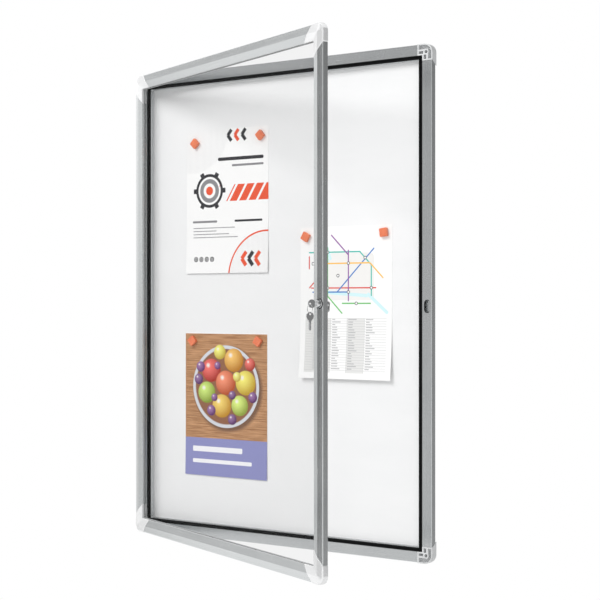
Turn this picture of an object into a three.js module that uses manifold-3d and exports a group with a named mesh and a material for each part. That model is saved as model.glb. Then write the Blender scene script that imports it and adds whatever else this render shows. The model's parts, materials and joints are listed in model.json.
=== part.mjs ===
// Lockable notice board for A4 sheets: a shallow aluminium wall case with a magnetic
// white panel, a glazed door on a pair of corner hinges, and a cam lock with two keys.
// Millimetres. The origin is the middle of the top rail's flat back, +X right, +Z up,
// and the board faces -Y. Profiles are drawn as (u, v): u runs inward from the outer
// edge of the frame and v runs forward from the back of the profile.

import * as THREE from 'three';
import { mergeVertices } from 'three/addons/utils/BufferGeometryUtils.js';
import Module from 'manifold-3d';

const wasm = await Module();
wasm.setup();

// Overall sizes, and the angle at which the door stands open.
const boardWidth = 709;
const boardHeight = 967;
const doorOpening = THREE.MathUtils.degToRad(22.48);

// Clearances: between assembled pieces, beside a loose sheet, and the overrun of a cut.
const fitGap = 0.3;
const sheetGap = 0.1;
const cutOverrun = 1;

// Case extrusion.
const caseDepth = 18;
const caseWall = 1.5;
const caseRearBevel = 5;
const caseFrontRound = 0.8;
const caseFaceWidth = 20.4;
const caseInnerWidth = 27.85;
const caseStepWidth = 0.8;
const caseStepHeight = 11.4;
const gasketRebate = 2;
const rearFlangeWidth = 24;
const channelInset = 21;
const channelHeight = 4.7;
const webHeight = 8.3;
const webThickness = 1.2;

// Case corner castings.
const caseCornerLeg = 30.5;
const caseCornerRadius = 17;
const caseCornerSideProud = 1;
const caseCornerFrontProud = 0.4;
const caseCornerRearBevel = 2.4;
const skirtThickness = 0.7;
const skirtReach = 9.5;
const caseSpigotLength = 22;
const pocketDepth = 9;
const pocketRound = 0.8;
const outerWallThickness = 2.3;
const railBandWidth = 8.3;
const stileBandWidth = 6.9;
const railRibWidth = 3;
const stileRibWidth = 3.8;
const railPocketWidth = 5;
const stilePocketWidth = 5.5;
const railPocketStart = 18.4;
const stilePocketStart = 19.6;
const legEndRim = 2.6;
const screwBossRadius = 5.5;
const screwHoleRadius = 3.1;
const screwFromSide = 12.4;
const screwFromEnd = 14.4;

// Sheets held in the case channel.
const panelThickness = 0.8;
const gasketLipHeight = 3.1;
const gasketBaseHeight = 1.2;
const gasketLipWidth = 1.8;
const gasketLipLean = 0.5;

// Door extrusion, measured from its back plane.
const doorBackGap = 1.4;
const doorFrameWidth = 29;
const doorSideHeight = 9;
const doorEdgeWidth = 2.6;
const doorEdgeHeight = 10.4;
const doorRidgeInset = 14.5;
const doorRidgeHeight = 12.2;
const doorInnerHeight = 9.8;
const doorInnerRound = 0.75;
const doorLipThickness = 2;
const doorGrooveInset = 22;
const doorGrooveWall = 2.5;
const doorSideWall = 2;
const doorBackWall = 1.5;
const doorCavityHeight = 8.2;
const glassThickness = 3;
const sealWidth = 1.3;
const sealHeight = 1.6;

// Door corner castings, whose leg ends lean with the distance from the outer edge.
const doorCornerLeg = 34;
const doorCornerLegLeanShare = 0.88;
const doorCornerRadius = 17;
const doorCornerSideProud = 1;
const doorCornerFrontProud = 0.95;
const doorCornerEndBevel = 1.3;
const doorSpigotStart = 30;
const doorSpigotEnd = 70;

// Hinges: the axis lies between case and door, near the left outer edge.
const hingeInset = 3;
const hingeForward = 0.7;
const knuckleRadius = 2.8;
const knuckleRelief = 0.4;
const knuckleGap = 0.4;
const pinRadius = 1.2;
const pinProud = 1;
const hingeEndInset = 10;
const doorKnuckleLength = 5.6;
const caseKnuckleLength = 6;
const caseHingeBevel = 4;
const doorHingeBevel = 4.5;

// Lock: heights are measured from the door's back plane, the cam's from the case front.
const lockInset = 10;
const lockPocketRadius = 9.6;
const lockPocketFloor = 9.6;
const flangeRadius = 7.1;
const flangeThickness = 0.9;
const flangeRound = 0.3;
const barrelRadius = 6.25;
const barrelFront = 17.8;
const barrelNoseRound = 0.7;
const barrelReach = 3.7;
const plugRadius = 4;
const plugProud = 0.4;
const keywayWidth = 2.4;
const keywayHeight = 5.2;
const keywayDepth = 16.9;
const nutPlateThickness = 2.5;
const nutPlateHalfLength = 13;
const camThickness = 2.5;
const camLength = 15;
const camHubRadius = 5;
const camTipHalfWidth = 4;
const camScrewHoleRadius = 1.8;
const camScrewHeadRadius = 3;
const camScrewHeadHeight = 1.3;
const slotRadius = 7.5;
const slotDrop = 10;

// Keys and their ring.
const bowRadius = 7.4;
const bowThickness = 2.2;
const bowHoleRadius = 1.9;
const bowHoleOffset = 3.6;
const collarWidth = 6;
const collarLength = 1.4;
const collarOverlap = 0.6;
const bladeWidth = 4.6;
const bladeThickness = 1.8;
const bladeLength = 16.5;
const bladeGrooveWidth = 1.2;
const bladeGrooveDepth = 0.5;
const bittingShare = [[0.2, 0.16], [0.42, 0.3], [0.6, 0.12], [0.76, 0.26]];
const bittingHalfWidth = 1.1;
const ringWireRadius = 0.55;
const ringRadius = 7.9;

// A4 sheets, placed by how the room that two sheets leave across or down is shared out,
// and a magnet near each upper corner, set in from the sheet's side and down from its top.
const sheetWidth = 210;
const sheetLength = 297;
const sheetThickness = 0.3;
const sheetCurlShare = 0.45;
const topSheetSideShare = 0.3877;
const topSheetTopShare = 0.3014;
const topSheetLift = 3;
const bottomSheetSideShare = 0.3744;
const bottomSheetFootShare = 0.3109;
const bottomSheetLift = 1.5;
const rightSheetSideShare = 0.2763;
const rightSheetTopShare = 0.4966;
const rightSheetLift = 8;
const magnetSide = 16.6;
const magnetHeight = 6.5;
const magnetRound = 2;
const magnetBevel = 0.6;
const firstMagnetInset = 23.7;
const firstMagnetDrop = 26;
const secondMagnetInset = 18.3;
const secondMagnetDrop = 19;
const thirdMagnetInset = 20.1;
const thirdMagnetDrop = 17.5;
const fourthMagnetInset = 21.6;
const fourthMagnetDrop = 16.6;
const fifthMagnetInset = 14.2;
const fifthMagnetDrop = 18.6;
const sixthMagnetInset = 16.4;
const sixthMagnetDrop = 14.6;
const magnetTurns = [-44, -50, 38, -34, -30, 7].map(THREE.MathUtils.degToRad);

// Numbers of facets.
const cornerSteps = 12;
const edgeSteps = 4;
const roundSteps = 32;
const wireSteps = 8;
const curlSteps = 10;

// Values that follow from the sizes above.
const halfWidth = boardWidth / 2;
const halfHeight = boardHeight / 2;
const bevelRun = Math.SQRT2 - 1;
const rebateHeight = caseDepth - gasketRebate;
const channelTop = caseWall + channelHeight;
const doorBack = caseDepth + doorBackGap;
const grooveTop = doorLipThickness + glassThickness + 2 * fitGap;
const knuckleStations = [
  hingeEndInset,
  hingeEndInset + doorKnuckleLength,
  hingeEndInset + doorKnuckleLength + knuckleGap,
  hingeEndInset + doorKnuckleLength + knuckleGap + caseKnuckleLength,
  hingeEndInset + doorKnuckleLength + 2 * knuckleGap + caseKnuckleLength,
  hingeEndInset + 2 * doorKnuckleLength + 2 * knuckleGap + caseKnuckleLength,
];
const hingeHeight = caseDepth + hingeForward;
const webTop = webHeight + webThickness;
const caseCornerFront = caseDepth + caseCornerFrontProud;
const doorCavityInset = doorGrooveInset - doorGrooveWall;
const hingeRelief = knuckleRadius + knuckleRelief;
const hangingHeight = halfHeight - (caseRearBevel + rearFlangeWidth) / 2;
const doorLegAt = (u) => doorCornerLeg + doorCornerLegLeanShare * u;

const finish = {
  aluminium: { color: 0xb4b8ba, roughness: 0.38, metalness: 0.85 },
  casePlastic: { color: 0xcdd1d2, roughness: 0.5, metalness: 0 },
  doorPlastic: { color: 0xe4e7e8, roughness: 0.4, metalness: 0 },
  enamel: { color: 0xf6f7f7, roughness: 0.28, metalness: 0 },
  hardboard: { color: 0x8a6a48, roughness: 0.8, metalness: 0 },
  rubber: { color: 0x1f2324, roughness: 0.75, metalness: 0 },
  glass: { color: 0xeaf4f1, roughness: 0.04, metalness: 0, transparent: true, opacity: 0.3 },
  chrome: { color: 0xd8dadc, roughness: 0.14, metalness: 1 },
  steel: { color: 0xa9adb0, roughness: 0.35, metalness: 1 },
  paper: { color: 0xfafaf7, roughness: 0.85, metalness: 0 },
  magnet: { color: 0xe8713c, roughness: 0.4, metalness: 0 },
};

// Puts a loop of points in the turning sense asked for.
function turned(loop, clockwise) {
  const points = loop.map(([a, b]) => new THREE.Vector2(a, b));
  return THREE.ShapeUtils.isClockWise(points) === clockwise ? loop : [...loop].reverse();
}

// Joins coincident vertices and drops the triangles that this folds flat.
function weld(geometry) {
  geometry.deleteAttribute('normal');
  geometry.deleteAttribute('uv');
  const merged = mergeVertices(geometry);
  const source = merged.index.array;
  const kept = [];
  for (let i = 0; i < source.length; i += 3) {
    const [a, b, c] = source.slice(i, i + 3);
    if (a !== b && b !== c && c !== a) kept.push(a, b, c);
  }
  merged.setIndex(kept);
  return merged;
}

// Surface through matching sections of one outline and its holes. An open run of
// sections is capped at both ends; a closed run returns to its first section.
function loft(outline, sections, closed = false) {
  const loops = outline.map((loop, i) => turned(loop, i > 0));
  const contours = loops.map((loop) => loop.map(([a, b]) => new THREE.Vector2(a, b)));
  const points = loops.flat();
  const positions = sections.flatMap((place) => points.flatMap((point) => place(...point)));
  const indices = [];
  const last = (sections.length - 1) * points.length;
  if (!closed) {
    for (const [a, b, c] of THREE.ShapeUtils.triangulateShape(contours[0], contours.slice(1))) {
      indices.push(a, c, b, last + a, last + b, last + c);
    }
  }
  for (let s = 0; s < sections.length - (closed ? 0 : 1); s += 1) {
    const here = s * points.length;
    const next = ((s + 1) % sections.length) * points.length;
    let start = 0;
    for (const loop of loops) {
      loop.forEach((_, i) => {
        const a = start + i;
        const b = start + ((i + 1) % loop.length);
        indices.push(here + a, here + b, next + b, here + a, next + b, next + a);
      });
      start += loop.length;
    }
  }
  const geometry = new THREE.BufferGeometry();
  geometry.setAttribute('position', new THREE.Float32BufferAttribute(positions, 3));
  geometry.setIndex(indices);
  return weld(geometry);
}

function solid(geometry) {
  const merged = weld(geometry.clone());
  return new wasm.Manifold(new wasm.Mesh({
    numProp: 3,
    vertProperties: Float32Array.from(merged.attributes.position.array),
    triVerts: Uint32Array.from(merged.index.array),
  }));
}

function geometryOf(manifold) {
  const mesh = manifold.getMesh();
  const geometry = new THREE.BufferGeometry();
  geometry.setAttribute('position', new THREE.BufferAttribute(mesh.vertProperties, 3));
  geometry.setIndex(new THREE.BufferAttribute(mesh.triVerts, 1));
  return geometry;
}

// Reflects a geometry across X or Z and turns its faces outward again.
function mirrored(geometry, signX, signZ) {
  const copy = geometry.clone().scale(signX, 1, signZ);
  if (signX * signZ > 0) return copy;
  const corners = copy.index.array;
  for (let i = 0; i < corners.length; i += 3) {
    [corners[i + 1], corners[i + 2]] = [corners[i + 2], corners[i + 1]];
  }
  return copy;
}

// Prism along Y over a shape drawn in (x, z).
function prism(shape, low, high, steps = roundSteps / 2) {
  const body = new THREE.ExtrudeGeometry(shape, {
    depth: high - low, bevelEnabled: false, curveSegments: steps,
  });
  return body.rotateX(Math.PI / 2).translate(0, high, 0);
}

// Cylinder along Y through (x, z).
function peg(x, z, radius, low, high) {
  const body = new THREE.CylinderGeometry(radius, radius, high - low, roundSteps);
  return body.translate(x, (low + high) / 2, z);
}

// Block between two opposite corners.
function block([x0, y0, z0], [x1, y1, z1]) {
  const body = new THREE.BoxGeometry(x1 - x0, y1 - y0, z1 - z0);
  return body.translate((x0 + x1) / 2, (y0 + y1) / 2, (z0 + z1) / 2);
}

// Round piece about the Y axis, from a closed profile of (radius, height) points.
function turnedPiece(profile) {
  const points = turned(profile, false).map(([radius, y]) => new THREE.Vector2(radius, y));
  return weld(new THREE.LatheGeometry([...points, points[0]], roundSteps));
}

function roundedRect(x0, z0, x1, z1, radius) {
  const shape = new THREE.Shape();
  shape.absarc(x1 - radius, z0 + radius, radius, -Math.PI / 2, 0);
  shape.absarc(x1 - radius, z1 - radius, radius, 0, Math.PI / 2);
  shape.absarc(x0 + radius, z1 - radius, radius, Math.PI / 2, Math.PI);
  shape.absarc(x0 + radius, z0 + radius, radius, Math.PI, 3 * Math.PI / 2);
  return shape;
}

// Case extrusion: two chambers, the channel for the panel and the rebate for the gasket.
function caseSection(frontBevel) {
  const rearInset = caseRearBevel + caseWall * bevelRun;
  const frontInset = frontBevel + caseWall * bevelRun;
  const round = caseFrontRound * (1 - Math.SQRT1_2);
  const front = frontBevel > 0
    ? [[frontBevel, caseDepth], [0, caseDepth - frontBevel]]
    : [[caseFrontRound, caseDepth], [round, caseDepth - round], [0, caseDepth - caseFrontRound]];
  const roof = frontBevel > 0
    ? [[frontInset, caseDepth - caseWall], [caseWall, caseDepth - frontInset]]
    : [[caseWall, caseDepth - caseWall]];
  return [
    [
      [caseRearBevel, 0], [rearFlangeWidth, 0], [rearFlangeWidth, caseWall],
      [channelInset, caseWall], [channelInset, channelTop],
      [caseInnerWidth + caseStepWidth, channelTop],
      [caseInnerWidth + caseStepWidth, caseStepHeight], [caseInnerWidth, caseStepHeight],
      [caseInnerWidth, rebateHeight], [caseFaceWidth, rebateHeight],
      [caseFaceWidth, caseDepth], ...front, [0, caseRearBevel],
    ],
    [
      [caseWall, webTop], [caseInnerWidth - caseWall, webTop],
      [caseInnerWidth - caseWall, rebateHeight - caseWall],
      [caseFaceWidth - caseWall, rebateHeight - caseWall],
      [caseFaceWidth - caseWall, caseDepth - caseWall], ...roof,
    ],
    [
      [rearInset, caseWall], [channelInset - caseWall, caseWall],
      [channelInset - caseWall, webHeight], [caseWall, webHeight], [caseWall, rearInset],
    ],
  ];
}

// Outer line of the door profile; the corner castings stand proud of it.
function doorOutline(sideProud, frontProud, backBevel) {
  const rise = doorEdgeHeight - doorSideHeight + frontProud;
  const edge = [];
  for (let i = 0; i <= edgeSteps; i += 1) {
    const angle = (i / edgeSteps) * Math.PI / 2;
    edge.push([
      doorEdgeWidth - (doorEdgeWidth + sideProud) * Math.cos(angle),
      doorSideHeight + rise * Math.sin(angle),
    ]);
  }
  return [
    ...edge,
    [doorRidgeInset, doorRidgeHeight + frontProud],
    [doorFrameWidth - doorInnerRound, doorInnerHeight + frontProud],
    [doorFrameWidth, doorInnerHeight + frontProud - doorInnerRound],
    [doorFrameWidth, grooveTop], [doorGrooveInset, grooveTop],
    [doorGrooveInset, doorLipThickness], [doorFrameWidth, doorLipThickness],
    [doorFrameWidth, 0],
    ...(backBevel > 0 ? [[backBevel, 0], [0, backBevel]] : [[-sideProud, 0]]),
  ];
}

function doorSection(backBevel) {
  const inset = backBevel + doorBackWall;
  const corner = backBevel > 0
    ? [[doorSideWall, inset], [inset, doorBackWall]]
    : [[doorSideWall, doorBackWall]];
  return [
    doorOutline(0, 0, backBevel),
    [
      ...corner, [doorCavityInset, doorBackWall], [doorCavityInset, doorCavityHeight],
      [doorSideWall, doorCavityHeight],
    ],
  ];
}

// Straight extrusion between the corner legs, along Z of its own (u, v) frame.
function bar(section, length, endAt) {
  return loft(section, [
    (u, v) => [u, v, endAt(u)],
    (u, v) => [u, v, length - endAt(u)],
  ]);
}

// Ring of one profile round all four sides, mitred at the corners.
function frameRing(profile) {
  const quarters = [[1, 1], [-1, 1], [-1, -1], [1, -1]];
  return loft([profile], quarters.map(
    ([x, z]) => (u, v) => [x * (halfWidth - u), -v, z * (halfHeight - u)],
  ), true);
}

// Flat sheet that fills the opening up to the inset given.
function plate(inset, back, front) {
  const [x, z] = [halfWidth - inset, halfHeight - inset];
  return block([-x, -front, -z], [x, -back, z]);
}

// Corners are drawn for the top left, where X is the inset from the stile's outer edge
// and -Z the inset from the rail's. An outline of (u, v) points is swept round from the
// rail leg to the stile leg: inside the centre of the outer arc it follows arcs about
// that centre, beyond it the two legs meet in a mitre. A point's third and fourth
// numbers are its place in the end section, where the leg slopes down to the extrusion.
function cornerSweep(outline, sideProud, radius, legAt, endBevel) {
  const centre = radius - sideProud;
  const arc = Array.from({ length: cornerSteps + 1 }, (_, i) => (u, v) => {
    const angle = (i / cornerSteps) * Math.PI / 2;
    const reach = Math.max(0, centre - u);
    const middle = Math.max(centre, u);
    return [middle - reach * Math.sin(angle), -v, reach * Math.cos(angle) - middle];
  });
  const sections = [
    (u, v) => [legAt(u) - endBevel, -v, -u], ...arc, (u, v) => [u, -v, endBevel - legAt(u)],
  ];
  if (endBevel > 0) {
    sections.unshift((u, v, endU, endV) => [legAt(endU), -endV, -endU]);
    sections.push((u, v, endU, endV) => [endU, -endV, -legAt(endU)]);
  }
  return loft([outline], sections);
}

// Two blocks that plug into the lower chambers of the rail and the stile.
function spigots(start, end, inset, edge, low, high) {
  return [
    block([start, -high, -edge], [end, -low, -inset]),
    block([inset, -high, -end], [edge, -low, -start]),
  ];
}

// Plate over the flank of a stile or rail, whose end slants back from the front edge.
function skirt(alongStile) {
  const outer = -caseCornerSideProud;
  const inner = outer + skirtThickness;
  const root = caseCornerLeg - cutOverrun;
  const top = caseCornerFront - caseFrontRound;
  const outline = [[
    [root, caseCornerRearBevel], [caseCornerLeg + skirtReach, caseCornerRearBevel],
    [caseCornerLeg, top], [root, top],
  ]];
  if (alongStile) return loft(outline, [(q, v) => [inner, -v, -q], (q, v) => [outer, -v, -q]]);
  return loft(outline, [(p, v) => [p, -v, -outer], (p, v) => [p, -v, -inner]]);
}

// Recesses moulded into the front of a case corner, with ribs left round the screw boss.
function cornerRecesses(hinged) {
  const edge = outerWallThickness - caseCornerSideProud;
  const end = caseCornerLeg - legEndRim;
  const railBand = edge + railBandWidth;
  const stileBand = edge + stileBandWidth;
  const railPocket = railBand + railRibWidth;
  const stilePocket = stileBand + stileRibWidth;
  const centre = caseCornerRadius - caseCornerSideProud;
  const start = hingeInset + hingeRelief + outerWallThickness;
  const band = new THREE.Shape();
  band.moveTo(end, -edge);
  band.lineTo(end, -railBand);
  if (hinged) {
    const reach = Math.sqrt((centre - edge) ** 2 - (centre - start) ** 2);
    band.lineTo(start, -railBand);
    band.lineTo(start, reach - centre);
  } else {
    band.lineTo(stileBand, -railBand);
    band.lineTo(stileBand, -end);
    band.lineTo(edge, -end);
    band.absarc(centre, -centre, centre - edge, Math.PI, Math.PI / 2, true);
  }
  if (hinged) band.lineTo(centre, -edge);
  const shapes = [
    band,
    roundedRect(railPocketStart, -railPocket - railPocketWidth, end, -railPocket, pocketRound),
    roundedRect(stilePocket, -end, stilePocket + stilePocketWidth, -stilePocketStart, pocketRound),
  ];
  const boss = solid(peg(screwFromSide, -screwFromEnd, screwBossRadius, -caseCornerFront, 0));
  return shapes.map((shape) => solid(
    prism(shape, -caseCornerFront - cutOverrun, pocketDepth - caseCornerFront, cornerSteps / 2),
  ).subtract(boss));
}

// Cylinder on the hinge axis of a corner, between two distances from the corner's end.
function hingeCylinder(radius, from, to) {
  const body = new THREE.CylinderGeometry(radius, radius, to - from, roundSteps);
  return body.rotateX(Math.PI / 2).translate(hingeInset, -hingeHeight, -(from + to) / 2);
}

// Knuckle with a square root that runs at 45 degrees into the case or into the door.
function knuckle(from, to, rootSign) {
  const half = knuckleRadius * Math.SQRT1_2;
  const root = new THREE.BoxGeometry(2 * half, 2 * half, to - from).rotateZ(Math.PI / 4);
  root.translate(hingeInset + half, -hingeHeight - rootSign * half, -(from + to) / 2);
  return solid(hingeCylinder(knuckleRadius, from, to)).add(solid(root));
}

// Wedge that bevels the hinge side: forward of the case (sign 1) or behind the door (-1).
function hingeWedge(run, face, sign, length) {
  const over = cutOverrun + caseCornerSideProud;
  const outline = [[
    [run + over, face + sign * over], [-over, face + sign * over],
    [-over, face - sign * (run + over)],
  ]];
  return loft(outline, [(u, v) => [u, -v, over], (u, v) => [u, -v, -length]]);
}

function caseCorner(hinged) {
  const side = caseCornerSideProud;
  const sweep = cornerSweep([
    [caseCornerRearBevel - side, 0], [rearFlangeWidth, 0], [rearFlangeWidth, caseWall],
    [channelInset, caseWall], [channelInset, channelTop],
    [caseInnerWidth, channelTop], [caseInnerWidth, rebateHeight],
    [caseFaceWidth, rebateHeight], [caseFaceWidth, caseCornerFront],
    [caseFrontRound - side, caseCornerFront], [-side, caseCornerFront - caseFrontRound],
    [-side, caseCornerRearBevel],
  ], side, caseCornerRadius, () => caseCornerLeg, 0);
  const plugs = spigots(
    caseCornerLeg - cutOverrun, caseCornerLeg + caseSpigotLength,
    caseRearBevel + caseWall * bevelRun + fitGap, channelInset - caseWall - fitGap,
    caseWall + fitGap, webHeight - fitGap,
  );
  let body = solid(sweep);
  for (const piece of [skirt(true), skirt(false), ...plugs]) body = body.add(solid(piece));
  for (const recess of cornerRecesses(hinged)) body = body.subtract(recess);
  body = body.subtract(solid(peg(
    screwFromSide, -screwFromEnd, screwHoleRadius, -caseCornerFront - cutOverrun, cutOverrun,
  )));
  if (hinged) {
    const [first, , from, to, , last] = knuckleStations;
    const pinRun = pinProud + knuckleGap;
    body = body
      .subtract(solid(hingeWedge(caseHingeBevel, caseDepth, 1, caseCornerLeg + 2 * skirtReach)))
      .subtract(solid(hingeCylinder(hingeRelief, first - pinRun, last + pinRun)))
      .add(knuckle(from, to, -1))
      .subtract(solid(hingeCylinder(pinRadius + fitGap, from - cutOverrun, to + cutOverrun)));
  }
  return geometryOf(body);
}

function doorCorner(hinged) {
  const flush = doorOutline(0, 0, 0);
  const outline = doorOutline(doorCornerSideProud, doorCornerFrontProud, 0)
    .map((point, i) => [...point, ...flush[i]]);
  const plugs = spigots(
    doorSpigotStart, doorSpigotEnd, doorHingeBevel + doorBackWall + fitGap,
    doorCavityInset - fitGap, doorBackWall + fitGap, doorCavityHeight - fitGap,
  );
  const sweep = cornerSweep(
    outline, doorCornerSideProud, doorCornerRadius, doorLegAt, doorCornerEndBevel,
  );
  let body = solid(sweep.translate(0, -doorBack, 0));
  for (const piece of plugs) body = body.add(solid(piece.translate(0, -doorBack, 0)));
  if (hinged) {
    const [first, firstEnd, , , second, secondEnd] = knuckleStations;
    body = body
      .subtract(solid(hingeWedge(doorHingeBevel, doorBack, -1, doorLegAt(doorFrameWidth) + cutOverrun)))
      .subtract(solid(hingeCylinder(hingeRelief, first - knuckleGap, secondEnd + knuckleGap)));
    for (const [near, far] of [[first, firstEnd], [second, secondEnd]]) {
      body = body
        .add(knuckle(near, far, 1))
        .subtract(solid(hingeCylinder(pinRadius + fitGap, near - cutOverrun, far + cutOverrun)));
    }
  }
  return geometryOf(body);
}

function gasketRing() {
  const outer = caseFaceWidth + sheetGap;
  const inner = caseInnerWidth - sheetGap;
  const base = rebateHeight + gasketBaseHeight;
  const lip = rebateHeight + gasketLipHeight;
  const lipRun = gasketLipLean + gasketLipWidth;
  return frameRing([
    [outer, rebateHeight], [inner, rebateHeight], [inner, base],
    [inner - gasketLipLean, lip], [inner - lipRun, lip], [inner - lipRun - gasketLipLean, base],
    [outer + lipRun + gasketLipLean, base], [outer + lipRun, lip], [outer + gasketLipLean, lip],
    [outer, base],
  ]);
}

function sealRing() {
  const outer = doorFrameWidth + fitGap;
  const back = doorBack + grooveTop;
  return frameRing([
    [outer, back], [outer + sealWidth, back], [outer + sealWidth, back + sealHeight / 2],
    [outer, back + sealHeight],
  ]);
}

// Sheet of paper that hangs flat from its top and curls forward toward its foot.
function curledSheet(lift) {
  const back = channelTop;
  const outline = [[
    [-sheetWidth / 2, back], [sheetWidth / 2, back],
    [sheetWidth / 2, back + sheetThickness], [-sheetWidth / 2, back + sheetThickness],
  ]];
  return loft(outline, Array.from({ length: curlSteps + 1 }, (_, i) => (x, v) => {
    const share = i === 0 ? 0 : 1 - sheetCurlShare + (sheetCurlShare * (i - 1)) / (curlSteps - 1);
    const rise = Math.max(0, (share - 1 + sheetCurlShare) / sheetCurlShare) ** 2;
    return [x, -v - lift * rise, -share * sheetLength];
  }));
}

function magnetBlock() {
  const half = magnetSide / 2 - magnetBevel;
  const face = roundedRect(-half, -half, half, half, magnetRound - magnetBevel);
  const body = new THREE.ExtrudeGeometry(face, {
    depth: magnetHeight - 2 * magnetBevel, bevelThickness: magnetBevel, bevelSize: magnetBevel,
    bevelSegments: 1, curveSegments: edgeSteps,
  });
  return body.translate(0, 0, magnetBevel).rotateX(Math.PI / 2);
}

// Key with its shoulder at the origin: the blade runs back along +Y, the bow forward.
function keyBlank() {
  const bowCentre = bowRadius + collarLength - collarOverlap;
  const ring = new THREE.Path().absarc(bowCentre + bowHoleOffset, 0, bowHoleRadius, 0, 2 * Math.PI, true);
  const bow = new THREE.Shape().absarc(bowCentre, 0, bowRadius, 0, 2 * Math.PI);
  bow.holes.push(ring);
  const half = bladeWidth / 2;
  const blade = new THREE.Shape().moveTo(cutOverrun, -half).lineTo(cutOverrun, half);
  for (const [place, depth] of bittingShare) {
    const at = -place * bladeLength;
    blade.lineTo(at + bittingHalfWidth, half);
    blade.lineTo(at, half - depth * bladeWidth);
    blade.lineTo(at - bittingHalfWidth, half);
  }
  blade.lineTo(half - bladeLength, half).lineTo(-bladeLength, 0).lineTo(half - bladeLength, -half);
  const collar = new THREE.Shape().moveTo(0, -collarWidth / 2).lineTo(collarLength, -collarWidth / 2);
  collar.lineTo(collarLength, collarWidth / 2).lineTo(0, collarWidth / 2);
  const [bowSolid, bladeSolid, collarSolid] = [
    [bow, bowThickness], [blade, bladeThickness], [collar, bowThickness],
  ].map(([shape, thickness]) => {
    const layer = new THREE.ExtrudeGeometry(shape, {
      depth: thickness, bevelEnabled: false, curveSegments: roundSteps / 2,
    }).translate(0, 0, -thickness / 2);
    return solid(layer.applyMatrix4(new THREE.Matrix4().makeBasis(
      new THREE.Vector3(0, -1, 0), new THREE.Vector3(0, 0, 1), new THREE.Vector3(-1, 0, 0),
    )));
  });
  let key = bowSolid.add(collarSolid).add(bladeSolid);
  for (const side of [-1, 1]) {
    const floor = side * (bladeThickness / 2 - bladeGrooveDepth);
    const face = side * (bladeThickness / 2 + cutOverrun);
    key = key.subtract(solid(block(
      [Math.min(floor, face), bladeWidth / 2, -half / 2 - bladeGrooveWidth / 2],
      [Math.max(floor, face), bladeLength + cutOverrun, bladeGrooveWidth / 2 - half / 2],
    )));
  }
  return geometryOf(key);
}

function addPiece(parent, name, geometry, look, x = 0, y = 0, z = 0) {
  const mesh = new THREE.Mesh(geometry, new THREE.MeshStandardMaterial(look));
  mesh.name = name;
  mesh.position.set(x, y, z);
  parent.add(mesh);
  return mesh;
}

// The four sides in order round the frame: origin, inward and lengthwise directions.
const sides = {
  top: { x: halfWidth, z: halfHeight, inward: [0, 0, -1], along: [-1, 0, 0] },
  bottom: { x: -halfWidth, z: -halfHeight, inward: [0, 0, 1], along: [1, 0, 0] },
  left: { x: -halfWidth, z: halfHeight, inward: [1, 0, 0], along: [0, 0, -1] },
  right: { x: halfWidth, z: -halfHeight, inward: [-1, 0, 0], along: [0, 0, 1] },
};

function addSide(parent, name, side, geometry, back) {
  const { x, z, inward, along } = sides[side];
  const mesh = addPiece(parent, name, geometry, finish.aluminium);
  mesh.applyMatrix4(new THREE.Matrix4().makeBasis(
    new THREE.Vector3(...inward), new THREE.Vector3(0, -1, 0), new THREE.Vector3(...along),
  ).setPosition(x, -back, z));
}

function addCorners(parent, prefix, make, look) {
  const [hinged, plain] = [make(true), make(false)];
  for (const [vertical, signZ] of [['top', 1], ['bottom', -1]]) {
    for (const [horizontal, signX] of [['left', 1], ['right', -1]]) {
      const geometry = mirrored(signX > 0 ? hinged : plain, signX, signZ);
      const name = `${prefix}_${vertical}_${horizontal}`;
      addPiece(parent, name, geometry, look, -signX * halfWidth, 0, signZ * halfHeight);
    }
  }
}

const noticeBoard = new THREE.Group();

// Wall case.
const wallCase = new THREE.Group();
wallCase.position.z = -hangingHeight;
noticeBoard.add(wallCase);
const caseEndAt = () => caseCornerLeg + fitGap;
const caseBar = (bevel, length) => bar(caseSection(bevel), length, caseEndAt);
addSide(wallCase, 'case_rail_top', 'top', caseBar(0, boardWidth), 0);
addSide(wallCase, 'case_rail_bottom', 'bottom', caseBar(0, boardWidth), 0);
addSide(wallCase, 'case_stile_left', 'left', caseBar(caseHingeBevel, boardHeight), 0);

// The right stile has the keeper slot that the lock cam enters.
const keeper = new THREE.Shape();
keeper.absarc(lockInset, halfHeight, slotRadius, 0, Math.PI);
keeper.absarc(lockInset, halfHeight - slotDrop, slotRadius, Math.PI, 2 * Math.PI);
const keeperCut = prism(keeper, caseDepth - caseWall - cutOverrun, caseDepth + cutOverrun);
addSide(
  wallCase, 'case_stile_right', 'right',
  geometryOf(solid(caseBar(0, boardHeight)).subtract(solid(keeperCut))), 0,
);
addCorners(wallCase, 'case_corner', caseCorner, finish.casePlastic);

const panelFront = channelTop - sheetGap;
const panelBack = panelFront - panelThickness;
const channelFill = channelInset + fitGap;
addPiece(wallCase, 'whiteboard_panel', plate(channelFill, panelBack, panelFront), finish.enamel);
addPiece(
  wallCase, 'backing_board', plate(channelFill, caseWall + sheetGap, panelBack - sheetGap),
  finish.hardboard,
);
addPiece(wallCase, 'case_gasket', gasketRing(), finish.rubber);

const [firstKnuckle, , , , , lastKnuckle] = knuckleStations;
const pin = weld(hingeCylinder(pinRadius, firstKnuckle - pinProud, lastKnuckle + pinProud));
addPiece(wallCase, 'hinge_pin_top', pin, finish.steel, -halfWidth, 0, halfHeight);
addPiece(wallCase, 'hinge_pin_bottom', mirrored(pin, 1, -1), finish.steel, -halfWidth, 0, -halfHeight);

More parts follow.
